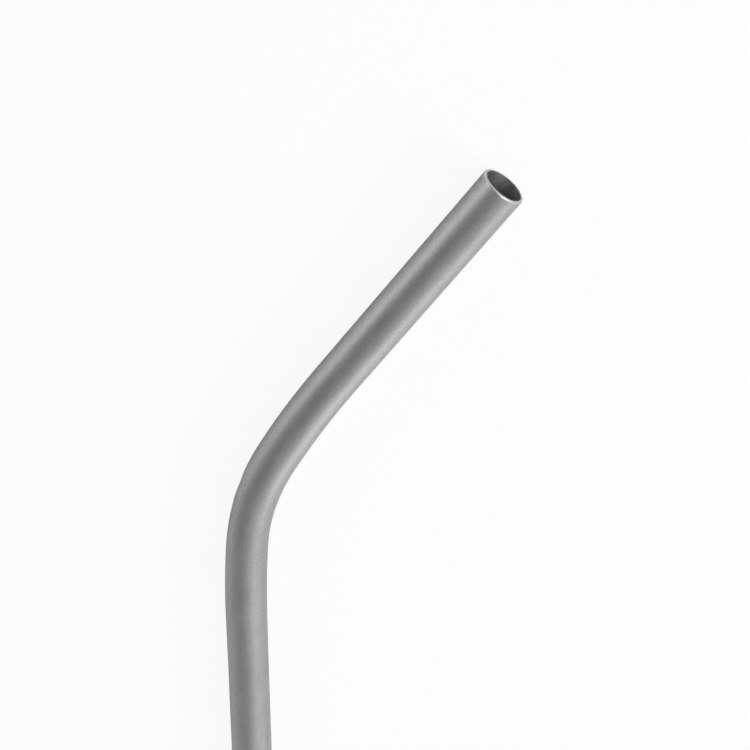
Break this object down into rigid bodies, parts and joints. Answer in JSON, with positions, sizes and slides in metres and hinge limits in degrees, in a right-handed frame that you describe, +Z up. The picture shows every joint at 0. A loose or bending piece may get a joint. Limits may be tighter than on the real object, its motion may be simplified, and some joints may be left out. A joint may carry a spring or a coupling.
{
  "type": "titanium drinking straw",
  "caption": "Thin round metal tube, open at both ends and bent once near its upper end, for drinking.",
  "frame": {"origin": "under the middle of the straw's own box, on the surface that it lies on", "axes": "+Y along the lower run from its mouth to the bend, the upper run leans from +Y towards +X, +Z up from the surface that the straw lies on"},
  "size_m": [0.0547, 0.2031, 0.008],
  "materials": {
    "titanium": "bare titanium, fine satin grain with polished lips"
  },
  "bodies": {
    "root": {"straw": "titanium"}
  },
  "joints": []
}
